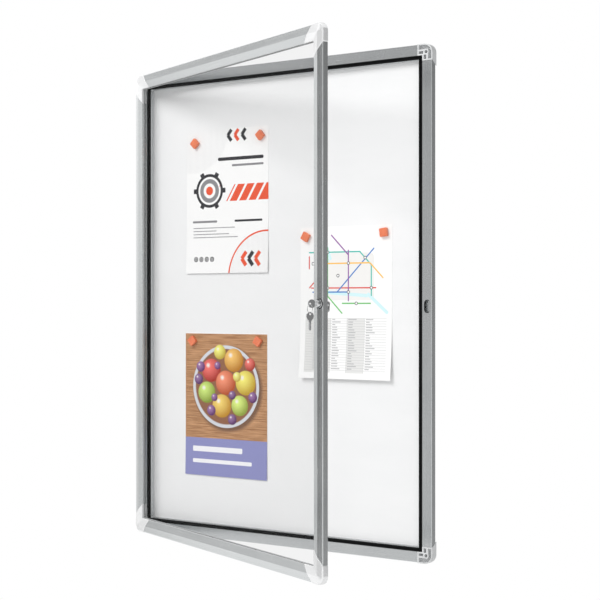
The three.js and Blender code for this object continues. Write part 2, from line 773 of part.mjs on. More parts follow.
// Papers, and the magnets that hold each by its upper corners.
const innerX = halfWidth - caseInnerWidth;
const innerZ = halfHeight - caseInnerWidth;
const roomAcross = 2 * (innerX - sheetWidth);
const roomDown = 2 * (innerZ - sheetLength);
const sheets = [
  {
    name: 'notice_sheet_top', left: topSheetSideShare * roomAcross - innerX,
    top: innerZ - topSheetTopShare * roomDown, lift: topSheetLift,
    magnets: [
      [firstMagnetInset, firstMagnetDrop], [sheetWidth - secondMagnetInset, secondMagnetDrop],
    ],
  },
  {
    name: 'notice_sheet_bottom', left: bottomSheetSideShare * roomAcross - innerX,
    top: bottomSheetFootShare * roomDown + sheetLength - innerZ, lift: bottomSheetLift,
    magnets: [
      [thirdMagnetInset, thirdMagnetDrop], [sheetWidth - fourthMagnetInset, fourthMagnetDrop],
    ],
  },
  {
    name: 'notice_sheet_right', left: innerX - rightSheetSideShare * roomAcross - sheetWidth,
    top: innerZ - rightSheetTopShare * (roomDown + sheetLength), lift: rightSheetLift,
    magnets: [
      [fifthMagnetInset, fifthMagnetDrop], [sheetWidth - sixthMagnetInset, sixthMagnetDrop],
    ],
  },
];
sheets.forEach(({ name, left, top, lift, magnets }, row) => {
  addPiece(wallCase, name, curledSheet(lift), finish.paper, left + sheetWidth / 2, 0, top);
  magnets.forEach(([across, drop], column) => {
    const order = row * magnets.length + column;
    const back = channelTop + sheetThickness + sheetGap;
    const magnet = addPiece(
      wallCase, `magnet_${order + 1}`, magnetBlock(), finish.magnet, left + across, -back, top - drop,
    );
    magnet.rotation.y = -magnetTurns[order];
  });
});

// The door is drawn shut inside its leaf and turned as a whole about the hinge axis.
const doorPivot = new THREE.Group();
doorPivot.position.set(hingeInset - halfWidth, -hingeHeight, -hangingHeight);
doorPivot.rotation.z = -doorOpening;
noticeBoard.add(doorPivot);
const door = new THREE.Group();
door.position.set(halfWidth - hingeInset, hingeHeight, 0);
doorPivot.add(door);

const doorEndAt = (u) => doorLegAt(u) + fitGap;
const doorBar = (bevel, length) => bar(doorSection(bevel), length, doorEndAt);
addSide(door, 'door_rail_top', 'top', doorBar(0, boardWidth), doorBack);
addSide(door, 'door_rail_bottom', 'bottom', doorBar(0, boardWidth), doorBack);
addSide(door, 'door_stile_hinge', 'left', doorBar(doorHingeBevel, boardHeight), doorBack);

// The lock stile has a spot-faced seat and a through hole for the lock barrel.
const lockSeat = peg(
  lockInset, halfHeight, lockPocketRadius, lockPocketFloor, doorRidgeHeight + cutOverrun,
);
const lockHole = peg(
  lockInset, halfHeight, barrelRadius + fitGap, -cutOverrun, lockPocketFloor + cutOverrun,
);
addSide(
  door, 'door_stile_lock', 'right',
  geometryOf(solid(doorBar(0, boardHeight)).subtract(solid(lockSeat)).subtract(solid(lockHole))),
  doorBack,
);
addCorners(door, 'door_corner', doorCorner, finish.doorPlastic);

const glassBack = doorBack + doorLipThickness + fitGap;
const glass = plate(doorGrooveInset + fitGap, glassBack, glassBack + glassThickness);
addPiece(door, 'door_glazing', glass, finish.glass);
addPiece(door, 'glazing_seal', sealRing(), finish.rubber);

// Lock pieces share a group on the lock axis, with Y = 0 on the door's back plane.
const lock = new THREE.Group();
lock.position.set(halfWidth - lockInset, -doorBack, 0);
door.add(lock);
const barrelBack = doorBackGap + barrelReach;
const flangeBack = -lockPocketFloor - fitGap;
const flangeFront = flangeBack - flangeThickness;
addPiece(lock, 'lock_barrel', turnedPiece([
  [plugRadius + fitGap, barrelBack], [barrelRadius, barrelBack], [barrelRadius, flangeBack],
  [flangeRadius, flangeBack], [flangeRadius, flangeFront + flangeRound],
  [flangeRadius - flangeRound, flangeFront], [barrelRadius, flangeFront],
  [barrelRadius, barrelNoseRound - barrelFront], [barrelRadius - barrelNoseRound, -barrelFront],
  [plugRadius + fitGap, -barrelFront],
]), finish.chrome);

const nutShape = new THREE.Shape();
const nutLeft = lockInset - doorCavityInset + fitGap;
const nutRight = lockInset - doorSideWall - fitGap;
nutShape.moveTo(nutLeft, -nutPlateHalfLength).lineTo(nutRight, -nutPlateHalfLength);
nutShape.lineTo(nutRight, nutPlateHalfLength).lineTo(nutLeft, nutPlateHalfLength);
nutShape.holes.push(new THREE.Path().absarc(0, 0, barrelRadius + fitGap, 0, 2 * Math.PI, true));
const nutFront = -doorBackWall - fitGap;
addPiece(lock, 'lock_nut_plate', prism(nutShape, nutFront - nutPlateThickness, nutFront), finish.steel);

// Everything that turns with the key.
const core = new THREE.Group();
lock.add(core);
const plugFront = barrelFront + plugProud;
const plugBlank = turnedPiece([
  [0, barrelBack], [plugRadius, barrelBack], [plugRadius, -plugFront], [0, -plugFront],
]);
const keyway = block(
  [-keywayWidth / 2, -plugFront - cutOverrun, -keywayHeight / 2],
  [keywayWidth / 2, keywayDepth - plugFront, keywayHeight / 2],
);
addPiece(core, 'lock_plug', geometryOf(solid(plugBlank).subtract(solid(keyway))), finish.chrome);

const camShape = new THREE.Shape();
camShape.absarc(0, 0, camHubRadius, 0, Math.PI);
camShape.absarc(0, camTipHalfWidth - camLength, camTipHalfWidth, Math.PI, 2 * Math.PI);
camShape.holes.push(new THREE.Path().absarc(0, 0, camScrewHoleRadius, 0, 2 * Math.PI, true));
const camFront = barrelBack + fitGap;
const camBack = camFront + camThickness;
addPiece(core, 'lock_cam', prism(camShape, camFront, camBack), finish.steel);
const screwHead = camBack + fitGap;
addPiece(core, 'cam_screw', turnedPiece([
  [0, camFront], [camScrewHoleRadius - fitGap, camFront], [camScrewHoleRadius - fitGap, screwHead],
  [camScrewHeadRadius, screwHead], [camScrewHeadRadius, screwHead + camScrewHeadHeight],
  [0, screwHead + camScrewHeadHeight],
]), finish.steel);

// The key in the lock, the ring through its bow, and the spare key that hangs from it.
const keyGeometry = keyBlank();
const keyShoulder = -plugFront - fitGap;
const bowHoleReach = bowRadius + collarLength - collarOverlap + bowHoleOffset;
const holeSlack = bowHoleRadius - ringWireRadius - fitGap;
addPiece(core, 'key', keyGeometry, finish.chrome, 0, keyShoulder, 0);
const torus = new THREE.TorusGeometry(ringRadius, ringWireRadius, wireSteps, roundSteps);
const ringDrop = holeSlack + ringRadius;
const holeDepth = keyShoulder - bowHoleReach;
addPiece(core, 'key_ring', weld(torus.rotateX(Math.PI / 2)), finish.steel, 0, holeDepth, -ringDrop);
const spareKey = addPiece(core, 'spare_key', keyGeometry, finish.chrome);
spareKey.rotation.x = -Math.PI / 2;
spareKey.position.set(0, holeDepth, -ringDrop - ringRadius - holeSlack - bowHoleReach);

export default noticeBoard;
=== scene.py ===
import json
import math

import bmesh
import bpy
import numpy as np
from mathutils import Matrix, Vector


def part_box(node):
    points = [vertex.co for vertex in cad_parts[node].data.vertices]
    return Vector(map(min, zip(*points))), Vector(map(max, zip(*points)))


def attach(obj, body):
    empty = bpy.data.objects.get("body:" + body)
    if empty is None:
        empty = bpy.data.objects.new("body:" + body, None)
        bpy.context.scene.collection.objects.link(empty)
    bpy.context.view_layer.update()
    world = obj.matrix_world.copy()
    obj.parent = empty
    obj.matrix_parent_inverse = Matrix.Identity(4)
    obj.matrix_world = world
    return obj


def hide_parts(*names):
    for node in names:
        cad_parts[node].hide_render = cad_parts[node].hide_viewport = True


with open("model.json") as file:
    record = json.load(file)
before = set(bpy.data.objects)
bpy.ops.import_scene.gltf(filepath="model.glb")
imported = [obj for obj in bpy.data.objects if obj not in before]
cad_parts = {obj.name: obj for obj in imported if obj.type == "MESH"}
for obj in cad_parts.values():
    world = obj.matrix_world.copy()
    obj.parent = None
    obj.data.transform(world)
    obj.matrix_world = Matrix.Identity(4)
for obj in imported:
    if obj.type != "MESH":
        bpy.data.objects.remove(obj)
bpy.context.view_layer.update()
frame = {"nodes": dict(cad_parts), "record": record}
nodes = frame["nodes"]
bodies = frame["record"]["behaviour"]["bodies"]
bodyOf = {node: body for body, members in bodies.items() for node in members}
doorTurn = math.radians(-22.48)  # the door at rest, turned about Z
middle = -0.469                  # height of the board's middle, in metres
print("frame loaded:", len(nodes), "nodes")

camera = {
    "place": (1.6068, -2.2969, middle),
    "turn": 34.19,     # degrees about Z from looking along +Y
    "lens": 83.71,
    "sensor": 36,
    "shiftY": 0.0061,
}
cameraData = bpy.data.cameras.new("camera")
cameraData.lens = camera["lens"]
cameraData.sensor_width = camera["sensor"]
cameraData.shift_y = camera["shiftY"]
cameraObject = bpy.data.objects.new("camera", cameraData)
cameraObject.location = camera["place"]
cameraObject.rotation_euler = (math.pi / 2, 0, math.radians(camera["turn"]))
bpy.context.scene.collection.objects.link(cameraObject)
bpy.context.scene.camera = cameraObject
print("camera set")


class Graph:
    # short names for the shader nodes that the materials below are wired from

    def __init__(self, tree):
        self.tree = tree
        tree.nodes.clear()

    def put(self, kind, *values, **settings):
        node = self.tree.nodes.new("ShaderNode" + kind)
        for key, value in settings.items():
            setattr(node, key, value)
        for i, value in enumerate(values):
            self.feed(node.inputs[i], value)
        return node

    def feed(self, socket, value):
        if isinstance(value, bpy.types.NodeSocket):
            self.tree.links.new(value, socket)
        elif value is not None:
            socket.default_value = value

    def math(self, operation, a, b=None, c=None):
        return self.put("Math", a, b, c, operation=operation).outputs[0]

    def vector(self, operation, a, b=None, c=None):
        node = self.put("VectorMath", a, b, c, operation=operation)
        return node.outputs["Value" if operation in ("LENGTH", "DISTANCE") else "Vector"]

    def ramp(self, value, low, high, toLow=0.0, toHigh=1.0):
        return self.put("MapRange", value, low, high, toLow, toHigh).outputs[0]

    def blend(self, factor, a, b):
        node = self.put("Mix", data_type="RGBA")
        self.feed(node.inputs[0], factor)
        for socket, value in ((node.inputs[6], a), (node.inputs[7], b)):
            self.feed(socket, (*value, 1) if isinstance(value, tuple) else value)
        return node.outputs[2]

    def place(self, turn=0.0, scale=(1, 1, 1)):
        # object coordinates, turned back by the angle about Z and then stretched
        coords = self.put("TexCoord").outputs["Object"]
        return self.vector("MULTIPLY", self.turned(coords, None, turn), scale)

    def turned(self, vector, centre, turn):
        # the vector as seen from the centre, in axes turned about Z
        node = self.put("Mapping", vector, centre, (0, 0, turn), vector_type="TEXTURE")
        return node.outputs[0]

    def noise(self, vector, scale, detail=3.0, roughness=0.5):
        node = self.put("TexNoise", vector)
        node.inputs["Scale"].default_value = scale
        node.inputs["Detail"].default_value = detail
        node.inputs["Roughness"].default_value = roughness
        return node.outputs[0]

    def bump(self, height, distance, strength=1.0):
        node = self.put("Bump")
        node.inputs["Strength"].default_value = strength
        node.inputs["Distance"].default_value = distance
        self.feed(node.inputs["Height"], height)
        return node.outputs[0]

    def surface(self, **values):
        shader = self.put("BsdfPrincipled")
        names = {
            "colour": "Base Color", "metallic": "Metallic", "roughness": "Roughness", "ior": "IOR",
            "alpha": "Alpha", "normal": "Normal", "coat": "Coat Weight",
            "coatRoughness": "Coat Roughness", "specular": "Specular IOR Level",
            "subsurface": "Subsurface Weight", "subsurfaceScale": "Subsurface Scale",
        }
        for key, value in values.items():
            if isinstance(value, tuple) and len(value) == 3:
                value = (*value, 1)
            self.feed(shader.inputs[names[key]], value)
        self.put("OutputMaterial", shader.outputs[0])


def newMaterial(name):
    material = bpy.data.materials.new(name)
    material.use_nodes = True
    return material, Graph(material.node_tree)


def dress(thing, material):
    thing.data.materials.clear()
    thing.data.materials.append(material)


# spans of a noise's values that run from a look's first end to its second
narrowSpan = (0.35, 0.65)
wideSpan = (0.3, 0.7)


def extrudedMetal(name, look, turn, along, pocketShade=None):
    # die lines: noise drawn out along the bar, tinting and roughening the anodised skin;
    # the optional ring is painted shade: a black, matt ring round an axis across the door, standing
    # in for the shadow in the lock's pocket
    material, g = newMaterial(name)
    across, drawn = look["lines"], look["drawn"]
    scale = (drawn, across, across) if along == "x" else (across, across, drawn)
    lines = g.noise(g.place(turn, scale), 1.0, detail=4.0, roughness=0.6)
    cloud = g.noise(g.place(), look["cloud"], detail=2.0)
    cloudPart = g.math("MULTIPLY", cloud, look["cloudShare"])
    mix = g.math("MULTIPLY_ADD", lines, 1 - look["cloudShare"], cloudPart)
    colour = g.blend(g.ramp(mix, *narrowSpan), look["dark"], look["light"])
    metallic, roughness = look["metallic"], g.ramp(mix, *wideSpan, *look["roughness"])
    if pocketShade:
        own = g.turned(g.place(), pocketShade["centre"], turn)
        reach = g.vector("LENGTH", g.vector("MULTIPLY", own, (1, 0, 1)))
        # painted shade: black inside the ring's radius round the lock's axis
        pocketShadeMask = g.math("LESS_THAN", reach, pocketShade["radius"])
        colour = g.blend(pocketShadeMask, colour, pocketShade["colour"])
        metallic = g.ramp(pocketShadeMask, 0, 1, look["metallic"], 0)
        dull = g.math("MULTIPLY", pocketShadeMask, pocketShade["roughness"])
        roughness = g.math("MAXIMUM", roughness, dull)
    normal = g.bump(lines, look["depth"], strength=0.6)
    g.surface(colour=colour, metallic=metallic, roughness=roughness, normal=normal)
    return material


anodised = {
    "dark": (0.62, 0.64, 0.648), "light": (0.69, 0.708, 0.715), "metallic": 0.9,
    "roughness": (0.2, 0.28), "lines": 900, "drawn": 6, "cloud": 22, "cloudShare": 0.3,
    "depth": 0.00002,
}
lockBox = np.array(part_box("lock_barrel"))
# painted shade round the lock: a black, matt disc on the lock stile, standing in for the shadow in
# the lock's pocket round the barrel
lockPocketShade = {
    "centre": tuple(lockBox.mean(axis=0)), "radius": 0.0093, "colour": (0.008, 0.008, 0.009),
    "roughness": 0.6,
}
# the case's anodised finish painted lighter for the door's frame: painted light standing in for the
# brighter light that the door catches
doorAnodisedPaintedLighter = {**anodised, "dark": (0.665, 0.684, 0.69), "light": (0.735, 0.753, 0.758)}


def platedMetal(name, look):
    # bright plate with fine scuffs: stretched noise breaks up the gloss
    material, g = newMaterial(name)
    drawn = g.place(doorTurn, (1, 1, look["stretch"]))
    scuffs = g.noise(drawn, look["scuffs"], detail=5.0, roughness=0.65)
    blotch = g.noise(g.place(), look["blotch"], detail=2.0)
    g.surface(
        colour=g.blend(g.ramp(blotch, *wideSpan), look["dark"], look["light"]),
        metallic=1.0, roughness=g.ramp(scuffs, *look["scuffSpan"], *look["roughness"]),
        normal=g.bump(scuffs, look["depth"], strength=0.4),
    )
    return material


chromeLook = {
    "dark": (0.72, 0.73, 0.74), "light": (0.8, 0.805, 0.81), "roughness": (0.1, 0.28),
    "scuffs": 700, "scuffSpan": (0.35, 0.75), "stretch": 0.3, "blotch": 120, "depth": 0.00001,
}
plugLook = {**chromeLook, "roughness": (0.2, 0.36)}
zincLook = {
    "dark": (0.5, 0.51, 0.53), "light": (0.66, 0.66, 0.65), "roughness": (0.26, 0.45),
    "scuffs": 500, "scuffSpan": (0.35, 0.75), "stretch": 1.0, "blotch": 260, "depth": 0.00002,
}


def mouldedPlastic(name, look):
    # spark-eroded grain as fine bump, a faint flow mark in the colour
    material, g = newMaterial(name)
    grain = g.noise(g.place(), look["grain"], detail=2.0)
    flow = g.noise(g.place(), look["flow"], detail=2.0)
    g.surface(
        colour=g.blend(g.ramp(flow, *narrowSpan), look["dark"], look["light"]),
        roughness=g.ramp(grain, *wideSpan, *look["roughness"]), metallic=look["metallic"],
        normal=g.bump(grain, look["depth"], strength=0.5), coat=look["coat"],
        coatRoughness=0.15, subsurface=look["glow"], subsurfaceScale=0.002,
    )
    return material


caseCornerLook = {
    "dark": (0.64, 0.65, 0.655), "light": (0.7, 0.71, 0.715), "roughness": (0.36, 0.48),
    "grain": 2600, "flow": 40, "depth": 0.00003, "coat": 0.0, "glow": 0.0, "metallic": 0.0,
}
doorCornerLook = {
    "dark": (0.83, 0.835, 0.84), "light": (0.88, 0.884, 0.888), "roughness": (0.14, 0.2),
    "grain": 1800, "flow": 30, "depth": 0.000004, "coat": 0.2, "glow": 0.0, "metallic": 0.36,
}
magnetLook = {
    "dark": (0.78, 0.19, 0.085), "light": (0.86, 0.235, 0.105), "roughness": (0.28, 0.4),
    "grain": 1500, "flow": 90, "depth": 0.00002, "coat": 0.25, "glow": 0.05, "metallic": 0.0,
}


def rubberSkin(name, look):
    # matt rubber with fine grain, paler where dust has settled
    material, g = newMaterial(name)
    grain = g.noise(g.place(), look["grain"], detail=2.0)
    dust = g.noise(g.place(), look["dust"], detail=4.0, roughness=0.7)
    g.surface(
        colour=g.blend(g.ramp(dust, *look["dustSpan"]), look["dark"], look["light"]),
        roughness=g.ramp(dust, *wideSpan, *look["roughness"]), specular=look["specular"],
        normal=g.bump(grain, look["depth"], strength=0.5),
    )
    return material


gasketLook = {
    "dark": (0.004, 0.0045, 0.005), "light": (0.009, 0.0095, 0.01), "roughness": (0.5, 0.65),
    "specular": 0.15, "grain": 3500, "dust": 60, "dustSpan": (0.4, 0.75), "depth": 0.00003,
}
sealLook = {**gasketLook, "dark": (0.34, 0.345, 0.35), "light": (0.42, 0.425, 0.43)}


def enamelSheet(name, look):
    # white enamel with a slight orange peel, wiped upright
    material, g = newMaterial(name)
    peel = g.noise(g.place(), look["peel"], detail=2.0)
    wipe = g.noise(g.place(0, look["wipe"]), 1.0, detail=4.0, roughness=0.6)
    g.surface(
        colour=g.blend(g.ramp(wipe, *wideSpan), look["dark"], look["light"]),
        roughness=g.ramp(wipe, *wideSpan, *look["roughness"]),
        normal=g.bump(peel, look["depth"], strength=0.3),
    )
    return material


enamelLook = {
    "dark": (0.85, 0.855, 0.858), "light": (0.88, 0.882, 0.885), "roughness": (0.3, 0.38),
    "peel": 420, "wipe": (3, 3, 14), "depth": 0.000003,
}


def hardboardSheet(name, look):
    # pressed fibre: flecks over brown, with the weave of the press screen in the bump
    material, g = newMaterial(name)
    coords = g.place()
    flecks = g.noise(coords, look["flecks"], detail=5.0, roughness=0.7)
    patches = g.noise(coords, look["patches"], detail=4.0, roughness=0.6)
    x, _, z = g.put("SeparateXYZ", coords).outputs
    waves = [g.math("SINE", g.math("MULTIPLY", axis, look["weave"])) for axis in (x, z)]
    weave = g.math("MULTIPLY", *waves)
    patchPart = g.math("MULTIPLY", patches, look["patchShare"])
    tone = g.math("MULTIPLY_ADD", flecks, 1 - look["patchShare"], patchPart)
    relief = g.math("MULTIPLY_ADD", weave, look["weaveShare"], flecks)
    g.surface(
        colour=g.blend(g.ramp(tone, *narrowSpan), look["dark"], look["light"]),
        roughness=look["roughness"], normal=g.bump(relief, look["depth"], strength=0.7),
    )
    return material


hardboardLook = {
    "dark": (0.2, 0.115, 0.062), "light": (0.38, 0.25, 0.15), "roughness": 0.78,
    "flecks": 900, "patches": 14, "patchShare": 0.14, "weave": 3100, "weaveShare": 0.5,
    "depth": 0.00012,
}


def clearPane(name, look):
    # each face holds back its share of what is behind and adds a thin veil
    material, g = newMaterial(name)
    g.surface(
        colour=look["veil"], alpha=look["alpha"], roughness=look["roughness"], ior=look["ior"],
        specular=0.5,
    )
    return material


paneLook = {"veil": (0.03, 0.032, 0.032), "alpha": 0.06, "roughness": 0.04, "ior": 1.5}
print("plain materials ready")


# what the sheets have in common; an ink fades over twice the soft edge, in millimetres
paper = {
    "white": (0.93, 0.93, 0.925), "fibre": 1400, "roughnessSpread": 0.08, "depth": 0.00002,
    "softEdge": 0.15,
}


class Print:
    # flat artwork in millimetres from a sheet's upper left corner: x across, y down

    def __init__(self, sheet):
        self.material, self.g = newMaterial(sheet["name"])
        g = self.g
        x, _, z = g.put("SeparateXYZ", g.put("TexCoord").outputs["Object"]).outputs
        left, top = sheet["corner"]
        self.x = g.math("MULTIPLY_ADD", x, 1000, -left)
        self.y = g.math("MULTIPLY_ADD", z, -1000, top)
        self.spot = g.put("CombineXYZ", self.x, self.y).outputs[0]
        self.colour = paper["white"]

    def lay(self, mask, colour):
        self.colour = self.g.blend(mask, self.colour, colour)

    def draw(self, layers):
        # each layer is a form, the values that place and size it, and its ink
        forms = {"bar": self.bar, "disc": self.disc, "ring": self.ring, "rows": self.rows}
        for form, values, ink in layers:
            self.lay(forms[form](*values), ink)

    def both(self, a, b):
        return self.g.math("MULTIPLY", a, b)

    def stripes(self, value, pitch, share):
        # 1 over the first share of every pitch
        pitches = self.g.math("DIVIDE", value, pitch)
        return self.g.math("LESS_THAN", self.g.math("FRACT", pitches), share)

    def bar(self, x, y, width, height, turn=0.0, corner=0.3, soft=paper["softEdge"]):
        # rounded box: how far the point lies outside the box shrunk by its corner radius
        g = self.g
        own = g.turned(self.spot, (x, y, 0), math.radians(turn))
        half = (width / 2 - corner, height / 2 - corner, 0)
        out = g.vector("MAXIMUM", g.vector("SUBTRACT", g.vector("ABSOLUTE", own), half), (0, 0, 0))
        return g.ramp(g.vector("LENGTH", out), corner + soft, corner - soft)

    def reach(self, x, y):
        return self.g.vector("DISTANCE", self.spot, (x, y, 0))

    def disc(self, x, y, radius, soft=paper["softEdge"]):
        return self.g.ramp(self.reach(x, y), radius + soft, radius - soft)

    def ring(self, x, y, radius, width):
        off = self.g.math("ABSOLUTE", self.g.math("SUBTRACT", self.reach(x, y), radius))
        return self.g.ramp(off, width / 2 + paper["softEdge"], width / 2 - paper["softEdge"])

    def rows(self, x, y, width, count, pitch, thick, shortest, seed):
        # stacked lines of uneven length inside one block
        g = self.g
        row = g.math("DIVIDE", g.math("SUBTRACT", self.y, y), pitch)
        index = g.math("ADD", g.math("FLOOR", row), seed)
        chance = g.put("TexWhiteNoise", None, index, noise_dimensions="1D").outputs[0]
        length = g.math("MULTIPLY_ADD", chance, width * (1 - shortest), width * shortest)
        inLine = g.math("LESS_THAN", g.math("FRACT", row), thick / pitch)
        inBlock = self.bar(x + width / 2, y + count * pitch / 2, width, count * pitch, soft=0.05)
        inReach = g.math("LESS_THAN", g.math("SUBTRACT", self.x, x), length)
        return self.both(self.both(inLine, inBlock), inReach)

    def finish(self, gloss):
        g = self.g
        fibre = g.noise(g.place(), paper["fibre"], detail=4.0, roughness=0.6)
        g.surface(
            colour=self.colour, normal=g.bump(fibre, paper["depth"], strength=0.4),
            roughness=g.ramp(fibre, *wideSpan, gloss, gloss + paper["roughnessSpread"]),
        )
        return self.material


inkDark = (0.03, 0.03, 0.035)
inkGrey = (0.25, 0.25, 0.26)
inkOrange = (0.8, 0.09, 0.03)
arrowLean = 38  # degrees


def arrows(x, step, y, spread, width, height, inks):
    # three arrow heads in a row, each of two bars that lean towards each other
    return [("bar", (x + step * i, y + side * spread, width, height, -side * arrowLean), inks[i % 2])
            for i in range(3) for side in (-1, 1)]


def teeth(x, y, reach, count, width, height):
    # blocks with a corner radius of 1 round a wheel's rim
    blocks = []
    for turn in [360 / count * i for i in range(count)]:
        across, down = math.cos(math.radians(turn)), math.sin(math.radians(turn))
        place = (x + reach * across, y + reach * down)
        blocks.append(("bar", (*place, width, height, turn, 1), inkDark))
    return blocks


safety = {
    "name": "print_orange", "corner": (-236.2, -109), "gloss": 0.4,
    "pinPitch": 3.1, "pinShare": 0.24, "pinInk": (0.7, 0.7, 0.71),
    "pinDiscs": ((16, -8, 96), (206, 306, 92)),  # pinstripes in two opposite corners
    "layers": [
        ("ring", (206, 306, 94, 3.4), inkOrange),
        *arrows(112, 18, 14, 5.6, 7.5, 15, (inkDark, inkOrange)),
        *arrows(150, 17, 268, 7, 8.5, 18, (inkOrange, inkDark)),
        ("bar", (140, 62, 116, 7, 0, 3), inkDark),
        ("bar", (158, 76, 80, 4.5, 0, 2), inkGrey),
        ("bar", (150, 132, 128, 34), inkOrange),  # band with white slashes through it
        *[("bar", (120 + 24 * i, 132, 5, 60, 32), paper["white"]) for i in range(4)],
        ("bar", (96, 132, 30, 60, 32), paper["white"]),
        ("ring", (60, 126, 32, 6), inkDark),  # wheel
        ("ring", (60, 126, 20, 9), inkGrey),
        ("disc", (60, 126, 9), inkOrange),
        *teeth(60, 126, 37, 6, 9, 10),
        ("bar", (48, 190, 64, 4.5, 0, 2), inkGrey),
        ("bar", (160, 190, 70, 4.5, 0, 2), inkDark),
        ("rows", (18, 202, 120, 4, 6.5, 2.0, 0.5, 3), (0.35, 0.35, 0.36)),
        *[("disc", (26 + 14 * i, 268, 5.2), inkDark) for i in range(4)],
        *[("ring", (26 + 14 * i, 268, 2.4, 1.1), paper["white"]) for i in range(4)],
    ],
}


def safetySheet(sheet):
    art = Print(sheet)
    pin = art.stripes(art.x, sheet["pinPitch"], sheet["pinShare"])
    for disc in sheet["pinDiscs"]:
        art.lay(art.both(pin, art.disc(*disc)), sheet["pinInk"])
    art.draw(sheet["layers"])
    return art.finish(sheet["gloss"])


gold, plum, damson = (0.95, 0.72, 0.12), (0.2, 0.05, 0.24), (0.16, 0.04, 0.2)
harvest = {
    "name": "print_brown", "corner": (-239.3, -529), "gloss": 0.36,
    "grain": (0.02, 0.35, 1), "wood": ((0.33, 0.155, 0.065), (0.62, 0.34, 0.17)),
    "plank": 58, "seamShare": 0.014, "seamInk": (0.2, 0.09, 0.04),
    "bowl": [  # shadow, rim and inside
        ("disc", (110, 116, 88, 4), (0.2, 0.1, 0.055)),
        ("disc", (105, 111, 85), (0.66, 0.68, 0.72)),
        ("disc", (105, 111, 78, 1.2), (0.28, 0.12, 0.06)),
    ],
    "balls": [  # x, y, radius and tint
        (68, 78, 24, (0.7, 0.04, 0.02)), (126, 56, 24, (0.9, 0.36, 0.02)),
        (156, 102, 25, (0.95, 0.6, 0.04)), (105, 103, 25, (0.85, 0.14, 0.03)),
        (56, 124, 22, (0.42, 0.58, 0.06)), (95, 151, 24, (0.95, 0.46, 0.03)),
        (141, 149, 21, (0.5, 0.64, 0.08)), (90, 40, 15, (0.95, 0.7, 0.08)),
        (167, 64, 13, (0.7, 0.06, 0.03)), (35, 97, 11, damson), (40, 71, 11, plum),
        (122, 178, 11, damson), (68, 161, 11, plum), (174, 131, 11, (0.18, 0.04, 0.22)),
        (134, 90, 10, gold), (84, 68, 8, plum), (122, 128, 9, damson), (76, 134, 8, plum),
    ],
    # lift and gain of a ball's lit side, shade of its rim, then places and sizes by its radius
    "lift": 0.16, "gain": 1.3, "shade": 0.55, "lightAt": (0.3, 0.35), "fade": 1.3,
    "glintAt": (0.35, 0.42), "glintSize": 0.16, "glintEdge": 0.1, "glintInk": (0.9, 0.86, 0.8),
    "bandTop": 219, "bandInk": (0.27, 0.28, 0.54), "headStrip": 2.2,
    "bandBars": [
        ("bar", (84, 242, 128, 11, 0, 2), (0.9, 0.9, 0.93)),
        ("bar", (96, 267, 152, 8, 0, 2), (0.9, 0.9, 0.93)),
    ],
}


def harvestSheet(sheet):
    art = Print(sheet)
    g = art.g
    planks = g.vector("MULTIPLY", art.spot, sheet["grain"])
    grain = g.noise(planks, 1.0, detail=5.0, roughness=0.6)
    art.colour = g.blend(g.ramp(grain, *narrowSpan), *sheet["wood"])
    art.lay(art.stripes(art.y, sheet["plank"], sheet["seamShare"]), sheet["seamInk"])
    art.draw(sheet["bowl"])
    for x, y, radius, tint in sheet["balls"]:
        # each ball fades from a lit side to a dark rim and has a small glint
        lit = tuple(min(1, sheet["lift"] + sheet["gain"] * c) for c in tint)
        deep = tuple(sheet["shade"] * c for c in tint)
        lightX, lightY = [at - radius * off for at, off in zip((x, y), sheet["lightAt"])]
        glintX, glintY = [at - radius * off for at, off in zip((x, y), sheet["glintAt"])]
        fade = g.ramp(art.reach(lightX, lightY), 0, radius * sheet["fade"])
        art.lay(art.disc(x, y, radius, soft=0.5), g.blend(fade, lit, deep))
        size, edge = radius * sheet["glintSize"], radius * sheet["glintEdge"]
        art.lay(art.disc(glintX, glintY, size, edge), sheet["glintInk"])
    art.lay(g.math("GREATER_THAN", art.y, sheet["bandTop"]), sheet["bandInk"])
    art.draw(sheet["bandBars"])
    art.lay(g.math("LESS_THAN", art.y, sheet["headStrip"]), paper["white"])
    return art.finish(sheet["gloss"])


teal, red, blue = (0.061, 0.5, 0.42), (0.72, 0.09, 0.07), (0.07, 0.22, 0.56)
green, amber, violet = (0.14, 0.52, 0.14), (0.94, 0.52, 0.08), (0.29, 0.1, 0.36)
routes = {
    "name": "print_routes", "corner": (52.2, -318.4), "gloss": 0.4,
    "ground": (118, 98, 104, 92, 0, 10), "groundInk": (0.84, 0.83, 0.81),
    "waterWidth": 6.5, "waterInk": (0.62, 0.86, 0.89), "strokeWidth": 2.6,
    "water": ((62, 40, 54, 70), (60, 96, 70, 96), (110, 132, 96, 4), (178, 150, 60, 40)),
    "strokes": [  # middle, length, turn and ink
        (80, 50, 120, 0, teal), (151, 63, 37, 45, teal), (164, 106, 60, 90, teal),
        (100, 120, 150, 0, red), (40, 101, 54, -45, red), (21, 70, 26, 90, red),
        (128, 86, 120, -45, blue), (70, 128, 84, 0, blue),
        (64, 88, 96, 90, green), (81, 153, 48, 45, green), (130, 150, 66, 0, green),
        (96, 72, 130, 0, amber), (176, 87, 42, 45, amber),
        (112, 96, 100, 90, violet), (92, 36, 56, 45, violet),
    ],
    "stops": ((30, 72), (64, 50), (64, 120), (112, 72), (112, 128), (164, 120), (150, 62),
              (130, 150), (88, 96)),
    "stopRadius": 3.4, "stopHole": 2.1,
    "tableX": 105, "tableY": 232, "tableWidth": 186, "tableHeight": 106,
    "rowTop": 179, "rowPitch": 5.05, "rowShare": 0.1,
    "shaded": ((20, 16), (50, 44), (129, 40)), "shadeInk": (0.76, 0.76, 0.75),
    "columns": (29, 73, 110, 150), "lineWidth": 0.5, "lineInk": (0.5, 0.5, 0.5),
    "wordInset": 2, "wordDrop": 1.4, "wordInk": (0.45, 0.45, 0.46),
}


